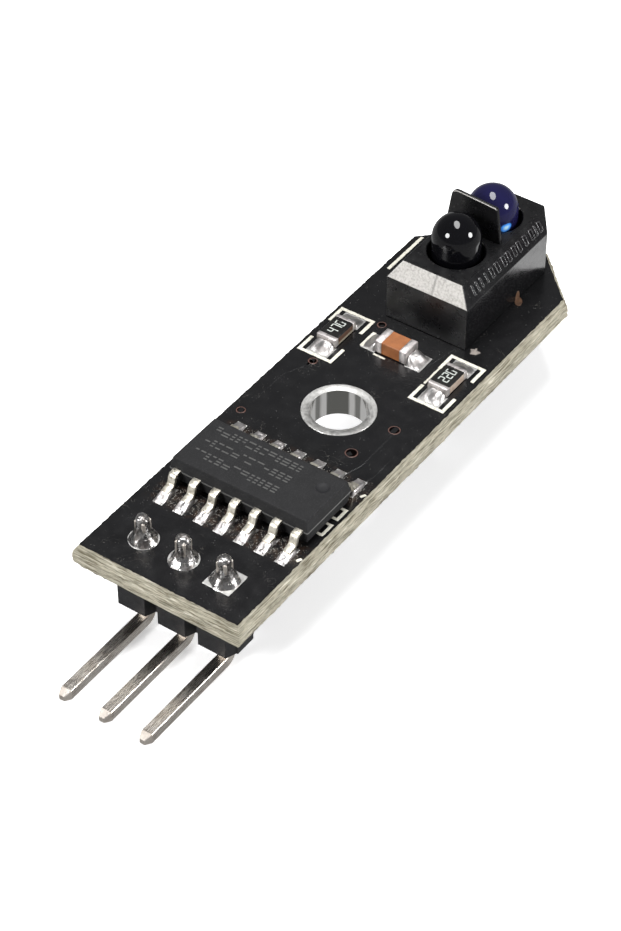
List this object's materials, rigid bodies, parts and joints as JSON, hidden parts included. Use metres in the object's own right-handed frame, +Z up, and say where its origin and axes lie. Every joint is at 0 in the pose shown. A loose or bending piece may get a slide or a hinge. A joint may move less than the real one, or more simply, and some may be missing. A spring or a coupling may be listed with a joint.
{
  "type": "line tracking sensor module",
  "caption": "Small black circuit board with a reflective infrared sensor at one end and bent header pins at the other, the line sensor of a line follower robot.",
  "frame": {"origin": "centre of the overall footprint, on the plane that the bent header pins rest on", "axes": "+Z up out of the component side of the board, +Y along the board from the header to the sensor, +X to the right seen from the header end with the component side up"},
  "size_m": [0.0098, 0.0386, 0.012],
  "materials": {
    "solder_mask": "satin black solder mask over fibreglass",
    "tinned_copper": "tinned, satin",
    "header_plastic": "moulded, semi-matte",
    "pin_metal": "tin plated, lightly dulled",
    "solder": "bright solder with flux traces",
    "chip_resin": "matte moulded resin",
    "lead_metal": "tin plated",
    "housing_plastic": "glossy moulding with textured slopes",
    "black_lens": "polished, infrared-pass black",
    "blue_lens": "polished deep blue",
    "resistor_ceramic": "black coating on pale ceramic",
    "capacitor_ceramic": "matte tan ceramic",
    "termination": "tinned"
  },
  "bodies": {
    "root": {"pcb": "solder_mask", "mounting_hole_plating": "tinned_copper", "header_block": "header_plastic", "header_pin_1": "pin_metal", "header_pin_2": "pin_metal", "header_pin_3": "pin_metal", "header_solder_1": "solder", "header_solder_2": "solder", "header_solder_3": "solder", "soic_body": "chip_resin", "soic_lead_01": "lead_metal", "soic_lead_02": "lead_metal", "soic_lead_03": "lead_metal", "soic_lead_04": "lead_metal", "soic_lead_05": "lead_metal", "soic_lead_06": "lead_metal", "soic_lead_07": "lead_metal", "soic_lead_08": "lead_metal", "soic_lead_09": "lead_metal", "soic_lead_10": "lead_metal", "soic_lead_11": "lead_metal", "soic_lead_12": "lead_metal", "soic_lead_13": "lead_metal", "soic_lead_14": "lead_metal", "sensor_housing": "housing_plastic", "detector_lens": "black_lens", "emitter_lens": "blue_lens", "sensor_lead_1": "lead_metal", "sensor_lead_2": "lead_metal", "sensor_lead_3": "lead_metal", "sensor_lead_4": "lead_metal", "sensor_solder_1": "solder", "sensor_solder_2": "solder", "sensor_solder_3": "solder", "sensor_solder_4": "solder", "resistor_1_body": "resistor_ceramic", "resistor_1_end_a": "termination", "resistor_1_end_b": "termination", "resistor_2_body": "resistor_ceramic", "resistor_2_end_a": "termination", "resistor_2_end_b": "termination", "capacitor_body": "capacitor_ceramic", "capacitor_end_a": "termination", "capacitor_end_b": "termination", "chip_solder_1": "solder", "chip_solder_2": "solder", "chip_solder_3": "solder", "chip_solder_4": "solder", "chip_solder_5": "solder", "chip_solder_6": "solder"}
  },
  "joints": []
}
